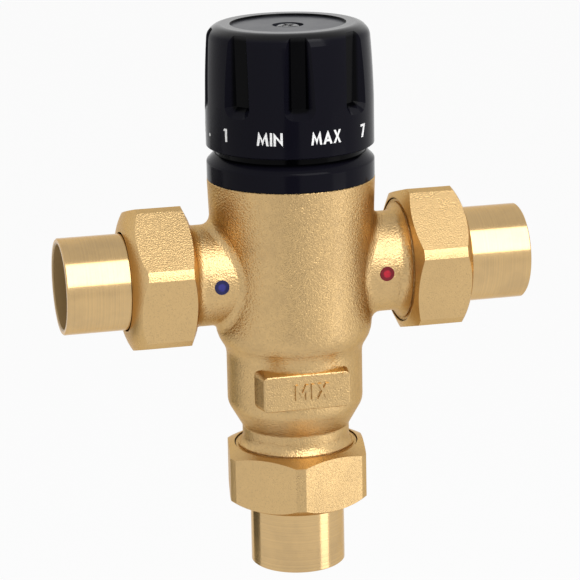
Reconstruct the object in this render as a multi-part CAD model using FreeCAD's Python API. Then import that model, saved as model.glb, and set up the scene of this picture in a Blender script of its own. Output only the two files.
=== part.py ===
import FreeCAD, Part
import math
import os
from collections import namedtuple
from FreeCAD import Placement, Rotation, Vector

# Three-way mixing valve with union tails, in millimetres.
# The origin is where the axis of the two inlets (X) crosses the axis of the knob and
# the mixed outlet (Z, knob up). Cold comes in at -X, hot at +X, and the front faces -Y.

# --- Clearances -------------------------------------------------------------------
RUN = 0.05          # radial, between a shaft and the bore it turns or slides in
THREAD_GAP = 0.05   # radial, between threads modelled as their mean cylinders
LOOSE = 0.3         # between moving pieces that must never touch
SEAL_GAP = 0.03     # radial, between a seal and the wall it wipes

# --- Union on every port, measured along the port from the nut's inner face --------
NUT_ACROSS_FLATS = 36.4
NUT_CORNER_R = 20.3          # the corners are turned down to this radius
NUT_LENGTH = 16.8
NUT_MOUTH_GAP = 0.3          # radial, between the nut's mouth and the body's ring
NUT_RIM = 0.3                # flat width of the nut's inner face
NUT_MOUTH_CONE = 1.7         # length of the chamfer from that face to the corners
NUT_DOME_LENGTH = 3.2        # length of the rounded outer end
NUT_LIP = 3.0                # thickness of the inward lip that holds the tail
UNION_THREAD_R = 15.9        # mean radius of the union thread
UNION_RING_R = 16.3          # plain ring behind the thread
UNION_BEAD_R = 15.6          # small bead between ring and neck
UNION_RING_START = 0.35
UNION_RING_END = 1.5
UNION_FLARE = 3.0            # axial length of the concave flare from neck to bead
GASKET_THICK = 2.0
GASKET_BORE_R = 10.2
TAIL_OUTER_R = 12.7
TAIL_SOCKET_R = 11.17        # takes the copper tube
TAIL_SOCKET_DEPTH = 19.0
TAIL_BORE_R = 9.5
TAIL_FLANGE = 3.0
TAIL_EXPOSED = 16.8          # length that shows outside the nut
TAIL_HOLE_GAP = 0.4          # radial play between the tail and the nut's lip
TAIL_FLANGE_PLAY = 0.3       # radial, between flange or gasket and the nut's thread
NUT_DOME_BOW = (0.61, 0.62)  # shares of the dome's width and length where its arc passes
UNION_BEAD = 0.5             # width of the bead
UNION_BEAD_STEP = 0.4        # step from the flare up to the bead
UNION_FLARE_BOW = (0.24, 0.62)

# --- Small values used in many places -----------------------------------------------
EDGE_BREAK = 0.3
LEAD_IN = 1.0                # chamfer at the start of a thread, stem or spline
ROOT = 0.5                   # how far a fused rib, lug or stop reaches into its carrier
TOOL_OVER = 1.5              # how far a cutting tool stands past what it cuts
QUARTER = math.sqrt(0.5)     # a quarter arc's middle, as a share of its width and height

# --- Body casting -----------------------------------------------------------------
OUTLET_REACH = 47.9          # axis crossing to the inner face of the outlet nut
INLET_NECK_R = 13.4
BARREL_TOP_Z = 25.15
BARREL_TOP_R = 22.15
INLET_NECK = 6.85            # barrel's top to the inner face of an inlet nut
INLET_REACH = BARREL_TOP_R + INLET_NECK   # axis crossing to that face
BARREL_LOW_Z = -14.2         # where the tapered upper barrel starts to draw in
BARREL_TAPER = 1.3           # how much narrower the upper barrel is there
BARREL_LOW_R = BARREL_TOP_R - BARREL_TAPER
WAIST_TOP_Z = -22.8
WAIST_BOTTOM_Z = -34.7
WAIST_STEP = 2.7             # barrel in to waist
WAIST_R = BARREL_LOW_R - WAIST_STEP
OUTLET_NECK_STEP = 3.8       # waist in to outlet neck
OUTLET_NECK_R = WAIST_R - OUTLET_NECK_STEP
SHOULDER_SLOPE = 33.0        # steepest angle of the shoulder above the waist, degrees
SHOULDER_ROUND = 9.0
CONE_SLOPE = 29.7            # angle of the cone under the waist, degrees
CONE_ROUND = 5.0
OUTLET_NECK = 4.9            # straight neck above the outlet nut
NECK_FILLET = 2.5
PAD_WIDTH = 23.35
PAD_HEIGHT = 9.55
PAD_CENTRE = (-1.35, -28.9)  # x and z
PAD_PROUD = 0.6              # pad's face in front of the waist
PAD_DEPTH = 6.75             # pad's face back to its root in the casting
PAD_FACE_Y = -WAIST_R - PAD_PROUD
PAD_ROOT_Y = PAD_FACE_Y + PAD_DEPTH
PAD_CORNER_R = 1.3
PAD_DRAFT = 8.0
PAD_EDGE_R = 0.45
DOT_R = 1.95
DOT_INSET = 6.75             # inlet nut back to the dot
DOT_X = INLET_REACH - DOT_INSET
DOT_Z = -0.2
DOT_DEPTH = 0.8
DOT_PROUD = 0.12

# --- Waterways and the bores that hold the working parts ---------------------------
PORT_BORE_R = 9.6
PORT_BORE_OVER = 5.0         # inlet nut to the blind end of an inlet bore
PORT_BORE_END = INLET_REACH - PORT_BORE_OVER
CROSSOVER_R = 5.2            # oblique passage from an inlet to its own chamber
CROSSOVER_SETBACK = 2.0      # inlet nut to the passage's start
CROSSOVER_FROM = INLET_REACH - CROSSOVER_SETBACK
BARREL_WALL = 3.85           # barrel's wall round the bonnet's thread
CAP_BORE_R = BARREL_TOP_R - BARREL_WALL   # mean radius of that thread
CAP_THREAD_LENGTH = 6.65
CHAMBER_STEP = 0.7           # thread in to upper chamber
UPPER_CHAMBER_R = CAP_BORE_R - CHAMBER_STEP
LOWER_STEP = 0.3             # upper in to lower chamber
LOWER_CHAMBER_R = UPPER_CHAMBER_R - LOWER_STEP
CROSSOVER_DEPTH = 1.1        # how far the passage reaches into a chamber
CROSSOVER_Z = 7.5            # where it ends above or below the inlet axis
CROSSOVER_TO = (UPPER_CHAMBER_R - CROSSOVER_DEPTH, CROSSOVER_Z)
BRIDGE_HALF = 3.0            # half the height of the wall between the chambers
SEAT_Z = 11.0                # both seats lie this far from the inlet axis
MIXING_BORE_R = 11.8
RETAINER_LEDGE_Z = -27.5
OUTLET_BORE_R = 9.6

# --- Shutter, wax element and return spring ----------------------------------------
SHUTTER_R = 14.0
SHUTTER_HALF = 9.0           # half the shutter's height
SHUTTER_WALL = 1.8
SHUTTER_WEB = 2.0            # half the thickness of the web across the shutter
WINDOW_INNER_R = 8.7
WINDOW_RIM = 0.7             # web left between a window and the shutter's wall
WINDOW_COUNT = 6
WINDOW_SPAN = 42.0           # degrees that each window takes
SHUTTER_RING_SECTION = 1.0   # radius of the O-ring's section
ELEMENT_STEM_R = 4.0
ELEMENT_STEM_TOP = 8.3
ELEMENT_FLANGE_R = 6.6
ELEMENT_FLANGE = 1.2
ELEMENT_CUP_R = 6.1
ELEMENT_BOTTOM = -19.0
ELEMENT_ROUND = 1.5
ELEMENT_NUT_FLATS = 11.0
ELEMENT_NUT_HEIGHT = 2.6
PIN_R = 1.6
PIN_BOTTOM = 3.2
RETURN_MEAN_R = 7.5
RETURN_WIRE_R = 0.7
RETURN_TURNS = 6.5
RETAINER_THICK = 1.5
RETAINER_BORE_R = 6.2
SHUTTER_TRAVEL = 0.9
CARRIER_TRAVEL = 0.9

# --- Carrier with its overload spring ----------------------------------------------
CARRIER_R = 8.6
CARRIER_BOTTOM = 10.9
CARRIER_TOP = 30.0
CARRIER_LUG_R = 10.4
CARRIER_LUG_WIDTH = 3.0
CARRIER_LUG_Z = (16.0, 24.0)
CARRIER_CHAMBER_R = 6.8
CARRIER_CHAMBER_TOP = 20.0
LEAD_THREAD_R = 5.0          # mean radius of the lead screw
CLIP_THICK = 0.8
CLIP_GAP = 3.0               # opening of a spring clip
CARRIER_CLIP_BORE_R = 4.9
CARRIER_CLIP_GROOVE_R = 7.4
PLUNGER_FLANGE_R = 6.5
PLUNGER_FLANGE = 1.5
PLUNGER_BOSS_R = 4.2
PLUNGER_BOSS = 1.1           # how far the boss stands below the flange
PLUNGER_GUIDE_R = 3.6
PLUNGER_GUIDE = 3.8
PLUNGER_SOCKET = 1.3
OVERLOAD_MEAN_R = 5.35
OVERLOAD_WIRE_R = 0.65
OVERLOAD_TURNS = 3.5

# --- Bonnet and spindle ------------------------------------------------------------
BONNET_SKIRT_R = 14.8
BONNET_PLUG_BOTTOM = 15.5
BONNET_RING_Z = 17.2
BONNET_RING_SECTION = 0.95
BONNET_HEX_INSET = 3.6       # thread's diameter less the hexagon
BONNET_FLATS = 2 * CAP_BORE_R - BONNET_HEX_INSET
BONNET_HEX_TOP = 29.0
BONNET_TOWER_R = 11.0
BONNET_TOWER_TOP = 35.0
BONNET_NECK_R = 8.4
BONNET_NECK_TOP = 41.0
BONNET_SKIRT_BORE_TOP = 14.0
LUG_SLOT_TOP = 25.5
SPINDLE_R = 5.5
SPINDLE_SHOULDER_R = 8.2
SPINDLE_SHOULDER_Z = (31.25, 33.15)
SPINDLE_STUB_BOTTOM = 21.5
SPINDLE_RINGS_Z = (35.6, 38.4)
SPINDLE_RING_SECTION = 0.8
SPINDLE_CLIP_GROOVE_R = 4.7
SPINDLE_CLIP_R = 7.4
SPLINE_R = 5.2
SPLINE_DEPTH = 0.5
SPLINE_TEETH = 18
SPINDLE_TOP = 60.5
TAP_R = 2.0                  # mean radius of the screw thread in the spindle
TAP_DEPTH = 11.0

# --- Collar under the knob ----------------------------------------------------------
COLLAR_INSET = 0.05          # barrel's top in to the collar
COLLAR_R = BARREL_TOP_R - COLLAR_INSET
COLLAR_WALL_TOP = 29.95
COLLAR_EDGE_R = 0.9          # round between the wall and the bevel
COLLAR_TOP = 32.1
COLLAR_BEVEL = 2.1           # width of the bevel
COLLAR_STEP = 0.25           # bevel in to the upright rim
COLLAR_RIM_WALL = 1.85
COLLAR_BEVEL_R = COLLAR_R - COLLAR_BEVEL
COLLAR_RIM_R = COLLAR_BEVEL_R - COLLAR_STEP
COLLAR_RIM_INNER_R = COLLAR_RIM_R - COLLAR_RIM_WALL
COLLAR_RIM_TOP = 37.0
COLLAR_FLOOR = 1.7
COLLAR_INDEX_WIDTH = 1.4

# --- Knob ---------------------------------------------------------------------------
KNOB_R = COLLAR_R            # the knob stands flush with the collar
KNOB_RIM_Z = 33.9
KNOB_WALL_Z = 46.0           # the wall is straight up to here, then draws in
KNOB_SHOULDER_Z = 62.5
KNOB_DRAW = 0.8              # how much narrower the knob is at its shoulder
KNOB_SHOULDER_R = KNOB_R - KNOB_DRAW
KNOB_CROWN = 4.1             # width of the rounding from shoulder to top
KNOB_CROWN_R = KNOB_SHOULDER_R - KNOB_CROWN
KNOB_TOP_Z = 65.7
KNOB_WALL_BOW = (0.31, 0.48) # shares of the draw-in and height where the wall's arc passes
KNOB_SKIRT_WALL = 1.9
KNOB_SKIRT_TOP = 39.2        # top of the wide bore inside the skirt
KNOB_WALL = 4.5              # wall behind the flutes
KNOB_CAVITY_R = KNOB_R - KNOB_WALL
KNOB_TOP_WALL = 2.0
DISC_RIM = 2.1               # flat rim round the disc
DISC_R = KNOB_CROWN_R - DISC_RIM
DISC_THICK = 0.8
DISC_SUNK = 0.6
SCREW_WELL_R = 4.1
SCREW_SEAT_Z = 62.9
HUB_R = 8.2
HUB_BOTTOM = 44.0
RIB_COUNT = 8
RIB_THICK = 1.4
RIB_BOTTOM = 54.0
FLUTE_COUNT = 8
FLUTE_AZIMUTH = -7.15        # of the flute between the two end marks, from the front
FLUTE_FLOOR_HALF = 1.85
FLUTE_DEPTH = 2.6
FLUTE_FLOOR_R = KNOB_R - FLUTE_DEPTH
FLUTE_LEDGE_Z = 46.5
FLUTE_DRAFT = 1.1
DIAL_SWEEP = 320.7           # degrees between the two end marks
STOP_PLAY = 0.8              # degrees left free at the stops, both ends together
SCREW_SHANK_R = 1.95
SCREW_LENGTH = 10.0
SCREW_HEAD_R = 3.4
SCREW_HEAD = 2.1
SCREW_HEAD_EDGE = 0.9        # height of the head's upright edge
SCREW_RECESS_HALF = 0.45
SCREW_RECESS_ARM = 1.9
SCREW_RECESS_DEPTH = 1.3
SCREW_TURN = 20.0            # how the cross recess stands, degrees

# --- Values that follow from the ones above -----------------------------------------
NUT_MOUTH_R = UNION_RING_R + NUT_MOUTH_GAP
NUT_LIP_START = NUT_LENGTH - NUT_LIP
UNION_FLANGE_END = NUT_LIP_START
UNION_GASKET_END = UNION_FLANGE_END - TAIL_FLANGE
UNION_THREAD_LENGTH = UNION_GASKET_END - GASKET_THICK   # nut's inner face to spigot's end
TAIL_END = NUT_LENGTH + TAIL_EXPOSED
SHUTTER_INNER_R = SHUTTER_R - SHUTTER_WALL
BRIDGE_R = SHUTTER_R + RUN
STOP_ARC = (360.0 - DIAL_SWEEP - STOP_PLAY) / 2
KNOB_BORE_R = KNOB_R - KNOB_SKIRT_WALL
DISC_TOP = KNOB_TOP_Z - DISC_SUNK
DISC_SEAT = DISC_TOP - DISC_THICK
PLUNGER_SEAT = CARRIER_BOTTOM + CLIP_THICK
RETAINER_TOP = RETAINER_LEDGE_Z + RETAINER_THICK
CARRIER_BORE_R = CARRIER_R + 2 * RUN
SPINDLE_CLIP_BOTTOM = BONNET_NECK_TOP + RUN
CAP_THREAD_BOTTOM = BARREL_TOP_Z - CAP_THREAD_LENGTH

Port = namedtuple("Port", "name reach neck_r spin corner")
# spin turns local +Z to the way out of the port; corner is the angle of one nut corner
PORTS = (
    Port("cold", INLET_REACH, INLET_NECK_R, Rotation(Vector(0, 1, 0), -90), 286.0),
    Port("hot", INLET_REACH, INLET_NECK_R, Rotation(Vector(0, 1, 0), 90), 254.0),
    Port("mixed", OUTLET_REACH, OUTLET_NECK_R, Rotation(Vector(1, 0, 0), 180), 100.7),
)


# --- Helpers ------------------------------------------------------------------------
def outline(start, *moves):
    """Close a flat outline in the XZ plane from (r, z) moves; a pair of points is an arc."""
    here = Vector(start[0], 0, start[1])
    first = here
    edges = []
    for move in moves:
        if isinstance(move[0], tuple):
            middle = Vector(move[0][0], 0, move[0][1])
            there = Vector(move[1][0], 0, move[1][1])
            edges.append(Part.Arc(here, middle, there).toShape())
        else:
            there = Vector(move[0], 0, move[1])
            edges.append(Part.makeLine(here, there))
        here = there
    edges.append(Part.makeLine(here, first))
    return Part.Face(Part.Wire(edges))


def turned(start, *moves, angle=360):
    """Revolve an outline about Z."""
    return outline(start, *moves).revolve(Vector(0, 0, 0), Vector(0, 0, 1), angle)


def tube(inner, outer, bottom, top):
    return turned((inner, bottom), (outer, bottom), (outer, top), (inner, top))


def rod(radius, bottom, top):
    return Part.makeCylinder(radius, top - bottom, Vector(0, 0, bottom))


def o_ring(bore_r, section_r, z):
    """Ring that wipes a bore, SEAL_GAP clear of its wall."""
    return Part.makeTorus(bore_r - SEAL_GAP - section_r, section_r, Vector(0, 0, z))


def ring_groove(shaft_r, bore_r, section_r, z):
    """Moves up a shaft's profile that leave the groove of an O-ring."""
    floor = bore_r - 2 * (SEAL_GAP + section_r)
    half = section_r + SEAL_GAP
    return [(shaft_r, z - half), (floor, z - half), (floor, z + half), (shaft_r, z + half)]


def spun(shape, angle):
    """Copy a shape turned about Z."""
    copy = shape.copy()
    copy.rotate(Vector(0, 0, 0), Vector(0, 0, 1), angle)
    return copy


def placed(shape, spin):
    copy = shape.copy()
    copy.Placement = Placement(Vector(0, 0, 0), spin).multiply(copy.Placement)
    return copy


def sector(inner, outer, bottom, top, span, centre):
    """Part of a tube that covers span degrees, centred on an angle from +X."""
    piece = turned((inner, bottom), (outer, bottom), (outer, top), (inner, top), angle=span)
    return spun(piece, centre - span / 2)


def hexagon(flats, bottom, top, corner):
    """Hexagonal prism with one corner at the given angle."""
    reach = flats / 2 / math.cos(math.radians(30))
    points = []
    for i in range(7):
        angle = math.radians(corner + 60 * i)
        points.append(Vector(reach * math.cos(angle), reach * math.sin(angle), bottom))
    return Part.Face(Part.makePolygon(points)).extrude(Vector(0, 0, top - bottom))


def double_bend(r0, z0, r1, z1, slope, first_round):
    """Moves down a profile from one cylinder to a thinner one.

    A convex arc, a straight cone and a concave arc, each tangent to the next; the
    second radius and the cone's length follow from the two end points."""
    a = math.radians(slope)
    sin, cos = math.sin(a), math.cos(a)
    drop, draw = z0 - z1 - first_round * sin, r0 - r1 - first_round * (1 - cos)
    second_round = (drop * sin - draw * cos) / (sin * sin - cos * (1 - cos))
    cone = (drop - second_round * sin) / cos
    half = a / 2
    mid1 = (r0 - first_round * (1 - math.cos(half)), z0 - first_round * math.sin(half))
    end1 = (r0 - first_round * (1 - cos), z0 - first_round * sin)
    end2 = (end1[0] - cone * sin, end1[1] - cone * cos)
    mid2 = (r1 + second_round * (1 - math.cos(half)), z1 + second_round * math.sin(half))
    return [(mid1, end1), end2, (mid2, (r1, z1))]


def coil(bottom, top, mean_r, wire_r, turns):
    """Compression spring with both ends ground flat."""
    pitch = (top - bottom) / turns
    helix = Part.makeHelix(pitch, top - bottom, mean_r)
    helix.translate(Vector(0, 0, bottom))
    start = Vector(mean_r, 0, bottom)
    section = Part.Wire(Part.makeCircle(wire_r, start, Vector(0, 1, pitch / (2 * math.pi * mean_r))))
    wire = Part.Wire(helix).makePipeShell([section], True, True)
    return wire.common(tube(mean_r - 2 * wire_r, mean_r + 2 * wire_r, bottom, top))


def spline_prism(radius, depth, bottom, top):
    """Prism whose outline is a ring of pointed teeth."""
    points = []
    for i in range(2 * SPLINE_TEETH + 1):
        angle = math.pi * i / SPLINE_TEETH
        reach = radius if i % 2 == 0 else radius - depth
        points.append(Vector(reach * math.cos(angle), reach * math.sin(angle), bottom))
    return Part.Face(Part.makePolygon(points)).extrude(Vector(0, 0, top - bottom))


def rounded_wire(half_width, low, high, radius, at):
    """Upright outline with two rounded lower corners; at(u, v) places its points."""
    k = radius * (1 - math.sqrt(0.5))
    left, right = -half_width, half_width
    edges = [
        Part.makeLine(at(left, high), at(left, low + radius)),
        Part.Arc(at(left, low + radius), at(left + k, low + k), at(left + radius, low)).toShape(),
        Part.makeLine(at(left + radius, low), at(right - radius, low)),
        Part.Arc(at(right - radius, low), at(right - k, low + k), at(right, low + radius)).toShape(),
        Part.makeLine(at(right, low + radius), at(right, high)),
        Part.makeLine(at(right, high), at(left, high)),
    ]
    return Part.Wire(edges)


# --- Unions -------------------------------------------------------------------------
def union_nut(corner):
    blank = hexagon(NUT_ACROSS_FLATS, 0, NUT_LENGTH, corner)
    hole_r = TAIL_OUTER_R + TAIL_HOLE_GAP
    dome = NUT_LENGTH - NUT_DOME_LENGTH
    out, up = NUT_DOME_BOW
    mid_dome = (hole_r + out * (NUT_CORNER_R - hole_r), dome + up * NUT_DOME_LENGTH)
    envelope = turned(
        (0, 0), (NUT_MOUTH_R + NUT_RIM, 0), (NUT_CORNER_R, NUT_MOUTH_CONE),
        (NUT_CORNER_R, dome),
        (mid_dome, (hole_r, NUT_LENGTH)), (0, NUT_LENGTH))
    thread_r = UNION_THREAD_R + THREAD_GAP
    mouth_end = UNION_RING_END + LOOSE
    bore = turned(
        (0, 0), (NUT_MOUTH_R, 0), (NUT_MOUTH_R, mouth_end),
        (thread_r, mouth_end + NUT_MOUTH_R - thread_r), (thread_r, NUT_LIP_START),
        (hole_r, NUT_LIP_START), (hole_r, NUT_LENGTH), (0, NUT_LENGTH))
    return blank.common(envelope).cut(bore)


def tailpiece():
    socket = TAIL_END - TAIL_SOCKET_DEPTH
    flange_r = UNION_THREAD_R - TAIL_FLANGE_PLAY
    return turned(
        (TAIL_BORE_R, UNION_GASKET_END), (flange_r, UNION_GASKET_END),
        (flange_r, UNION_FLANGE_END), (TAIL_OUTER_R, UNION_FLANGE_END),
        (TAIL_OUTER_R, TAIL_END - EDGE_BREAK), (TAIL_OUTER_R - EDGE_BREAK, TAIL_END),
        (TAIL_SOCKET_R + EDGE_BREAK, TAIL_END), (TAIL_SOCKET_R, TAIL_END - EDGE_BREAK),
        (TAIL_SOCKET_R, socket), (TAIL_BORE_R, socket))


def gasket():
    outer_r = UNION_THREAD_R - TAIL_FLANGE_PLAY
    return tube(GASKET_BORE_R, outer_r, UNION_THREAD_LENGTH, UNION_GASKET_END)


def spigot(port, foot):
    """Neck, flare, bead, ring and thread of one port, solid inside."""
    flare = port.reach + UNION_RING_START - UNION_BEAD
    start = flare - UNION_FLARE
    rise = UNION_BEAD_R - UNION_BEAD_STEP - port.neck_r
    out, along = UNION_FLARE_BOW
    bow = (port.neck_r + out * rise, start + along * UNION_FLARE)
    end = port.reach + UNION_THREAD_LENGTH
    return turned(
        (0, foot), (port.neck_r, foot), (port.neck_r, start), (bow, (port.neck_r + rise, flare)),
        (UNION_BEAD_R, flare), (UNION_BEAD_R, port.reach + UNION_RING_START),
        (UNION_RING_R, port.reach + UNION_RING_START), (UNION_RING_R, port.reach + UNION_RING_END),
        (UNION_THREAD_R, port.reach + UNION_RING_END), (UNION_THREAD_R, end - LEAD_IN),
        (UNION_THREAD_R - LEAD_IN, end), (0, end))


# --- Body ---------------------------------------------------------------------------
def barrel():
    outlet = PORTS[2]
    neck_z = OUTLET_NECK - outlet.reach
    return turned(
        (0, BARREL_TOP_Z), (BARREL_TOP_R - EDGE_BREAK, BARREL_TOP_Z),
        (BARREL_TOP_R, BARREL_TOP_Z - EDGE_BREAK), (BARREL_LOW_R, BARREL_LOW_Z),
        *double_bend(BARREL_LOW_R, BARREL_LOW_Z, WAIST_R, WAIST_TOP_Z,
                     SHOULDER_SLOPE, SHOULDER_ROUND),
        (WAIST_R, WAIST_BOTTOM_Z),
        *double_bend(WAIST_R, WAIST_BOTTOM_Z, outlet.neck_r, neck_z, CONE_SLOPE, CONE_ROUND),
        (0, neck_z))


def outlet_pad():
    x, z = PAD_CENTRE
    lean = math.tan(math.radians(PAD_DRAFT)) * (PAD_ROOT_Y - PAD_FACE_Y)
    wires = []
    for y, grow in ((PAD_ROOT_Y, lean), (PAD_FACE_Y, 0)):
        width, height = PAD_WIDTH + 2 * grow, PAD_HEIGHT + 2 * grow
        plate = Part.makeBox(width, 1, height, Vector(x - width / 2, y, z - height / 2))
        upright = [e for e in plate.Edges if abs(e.tangentAt(e.FirstParameter).y) > 0.9]
        plate = plate.makeFillet(PAD_CORNER_R + grow, upright)
        front = min(plate.Faces, key=lambda f: f.CenterOfMass.y)
        wires.append(front.OuterWire)
    block = Part.makeLoft(wires, True, True)
    face = min(block.Faces, key=lambda f: f.CenterOfMass.y)
    return block.makeFillet(PAD_EDGE_R, face.Edges)


def waterways():
    """Everything that is bored or cored out of the casting."""
    stack = turned(
        (0, BARREL_TOP_Z), (CAP_BORE_R, BARREL_TOP_Z), (CAP_BORE_R, CAP_THREAD_BOTTOM),
        (UPPER_CHAMBER_R, CAP_THREAD_BOTTOM), (UPPER_CHAMBER_R, BRIDGE_HALF),
        (BRIDGE_R, BRIDGE_HALF), (BRIDGE_R, -BRIDGE_HALF), (LOWER_CHAMBER_R, -BRIDGE_HALF),
        (LOWER_CHAMBER_R, -SEAT_Z), (MIXING_BORE_R, -SEAT_Z),
        (MIXING_BORE_R, RETAINER_LEDGE_Z), (OUTLET_BORE_R, RETAINER_LEDGE_Z),
        (OUTLET_BORE_R, -OUTLET_REACH - UNION_THREAD_LENGTH),
        (0, -OUTLET_REACH - UNION_THREAD_LENGTH))
    cuts = [stack]
    x, z = CROSSOVER_TO
    for side, rise in ((-1, 1), (1, -1)):
        bore = rod(PORT_BORE_R, PORT_BORE_END, INLET_REACH + UNION_THREAD_LENGTH)
        cuts.append(placed(bore, PORTS[0 if side < 0 else 1].spin))
        run = Vector(side * (x - CROSSOVER_FROM), 0, rise * z)
        cuts.append(Part.makeCylinder(
            CROSSOVER_R, run.Length, Vector(side * CROSSOVER_FROM, 0, 0), run))
    return cuts


def dot_blank(side, proud):
    """Round marker set into the front of an inlet neck."""
    front = -math.sqrt(INLET_NECK_R ** 2 - DOT_Z ** 2)
    seat = Vector(side * DOT_X, front + DOT_DEPTH, DOT_Z)
    return Part.makeCylinder(DOT_R, DOT_DEPTH + proud, seat, Vector(0, -1, 0))


def valve_body():
    shape = barrel()
    for port in PORTS[:2]:
        shape = shape.fuse(placed(spigot(port, BARREL_LOW_R / 2), port.spin))
    seams = [e for e in shape.Edges if isinstance(e.Curve, Part.BSplineCurve)]
    shape = shape.makeFillet(NECK_FILLET, seams)
    outlet = PORTS[2]
    shape = shape.fuse(placed(spigot(outlet, outlet.reach - OUTLET_NECK - ROOT), outlet.spin))
    shape = shape.fuse(outlet_pad())
    for cut in waterways():
        shape = shape.cut(cut)
    for side in (-1, 1):
        shape = shape.cut(dot_blank(side, INLET_NECK_R))
    return shape.removeSplitter()


def marker(side):
    blank = dot_blank(side, DOT_PROUD)
    rim = [e for e in blank.Edges if e.CenterOfMass.y < -INLET_NECK_R and e.Closed]
    return blank.makeFillet(DOT_PROUD / 2, rim)


# --- Shutter and wax element ----------------------------------------------------------
def shutter():
    groove = ring_groove(SHUTTER_R, BRIDGE_R, SHUTTER_RING_SECTION, 0)
    shell = turned(
        (ELEMENT_STEM_R + RUN, -SHUTTER_WEB), (SHUTTER_INNER_R, -SHUTTER_WEB),
        (SHUTTER_INNER_R, -SHUTTER_HALF), (SHUTTER_R, -SHUTTER_HALF), *groove,
        (SHUTTER_R, SHUTTER_HALF), (SHUTTER_INNER_R, SHUTTER_HALF),
        (SHUTTER_INNER_R, SHUTTER_WEB), (ELEMENT_STEM_R + RUN, SHUTTER_WEB))
    for i in range(WINDOW_COUNT):
        shell = shell.cut(sector(WINDOW_INNER_R, SHUTTER_INNER_R - WINDOW_RIM, -SHUTTER_WEB,
                                 SHUTTER_WEB, WINDOW_SPAN, i * 360 / WINDOW_COUNT))
    return shell


def element():
    """Wax element: cup in the mixed water, flange under the web, stem through it."""
    bore_r = PIN_R + RUN
    bore_end = PIN_BOTTOM - 2 * SHUTTER_TRAVEL
    seat = -SHUTTER_WEB
    corner = (ELEMENT_CUP_R - (1 - QUARTER) * ELEMENT_ROUND,
              ELEMENT_BOTTOM + (1 - QUARTER) * ELEMENT_ROUND)
    return turned(
        (0, ELEMENT_BOTTOM), (ELEMENT_CUP_R - ELEMENT_ROUND, ELEMENT_BOTTOM),
        (corner, (ELEMENT_CUP_R, ELEMENT_BOTTOM + ELEMENT_ROUND)),
        (ELEMENT_CUP_R, seat - ELEMENT_FLANGE - LEAD_IN), (ELEMENT_FLANGE_R, seat - ELEMENT_FLANGE),
        (ELEMENT_FLANGE_R, seat), (ELEMENT_STEM_R, seat),
        (ELEMENT_STEM_R, ELEMENT_STEM_TOP - LEAD_IN),
        (ELEMENT_STEM_R - LEAD_IN, ELEMENT_STEM_TOP), (bore_r, ELEMENT_STEM_TOP),
        (bore_r, bore_end), (0, bore_end))


def element_nut():
    top = SHUTTER_WEB + ELEMENT_NUT_HEIGHT
    return hexagon(ELEMENT_NUT_FLATS, SHUTTER_WEB, top, 0).cut(
        rod(ELEMENT_STEM_R + THREAD_GAP, SHUTTER_WEB, top))


def retainer():
    return tube(RETAINER_BORE_R, MIXING_BORE_R - RUN, RETAINER_LEDGE_Z, RETAINER_TOP)


# --- Carrier --------------------------------------------------------------------------
def carrier():
    sleeve = turned(
        (CARRIER_CHAMBER_R, CARRIER_BOTTOM - CLIP_THICK), (CARRIER_R, CARRIER_BOTTOM - CLIP_THICK),
        (CARRIER_R, CARRIER_TOP), (LEAD_THREAD_R + THREAD_GAP, CARRIER_TOP),
        (LEAD_THREAD_R + THREAD_GAP, CARRIER_CHAMBER_TOP), (CARRIER_CHAMBER_R, CARRIER_CHAMBER_TOP))
    sleeve = sleeve.cut(tube(CARRIER_CHAMBER_R / 2, CARRIER_CLIP_GROOVE_R,
                             CARRIER_BOTTOM, PLUNGER_SEAT))
    low, high = CARRIER_LUG_Z
    lugs = Part.makeBox(2 * CARRIER_LUG_R, CARRIER_LUG_WIDTH, high - low,
                        Vector(-CARRIER_LUG_R, -CARRIER_LUG_WIDTH / 2, low))
    return sleeve.fuse(lugs.cut(rod(CARRIER_R - ROOT, low, high))).removeSplitter()


def split_ring(inner, outer, bottom):
    """Flat spring clip, open on one side."""
    return tube(inner, outer, bottom, bottom + CLIP_THICK).cut(
        Part.makeBox(outer, CLIP_GAP, CLIP_THICK, Vector(0, -CLIP_GAP / 2, bottom)))


def plunger():
    socket_r = PIN_R + RUN
    bottom = PLUNGER_SEAT - PLUNGER_BOSS
    flange_top = PLUNGER_SEAT + PLUNGER_FLANGE
    return turned(
        (socket_r, bottom), (PLUNGER_BOSS_R, bottom), (PLUNGER_BOSS_R, PLUNGER_SEAT),
        (PLUNGER_FLANGE_R, PLUNGER_SEAT), (PLUNGER_FLANGE_R, flange_top),
        (PLUNGER_GUIDE_R, flange_top), (PLUNGER_GUIDE_R, flange_top + PLUNGER_GUIDE),
        (0, flange_top + PLUNGER_GUIDE), (0, PLUNGER_SEAT + PLUNGER_SOCKET),
        (socket_r, PLUNGER_SEAT + PLUNGER_SOCKET))


def element_pin():
    return rod(PIN_R, PIN_BOTTOM, PLUNGER_SEAT + PLUNGER_SOCKET)


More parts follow.
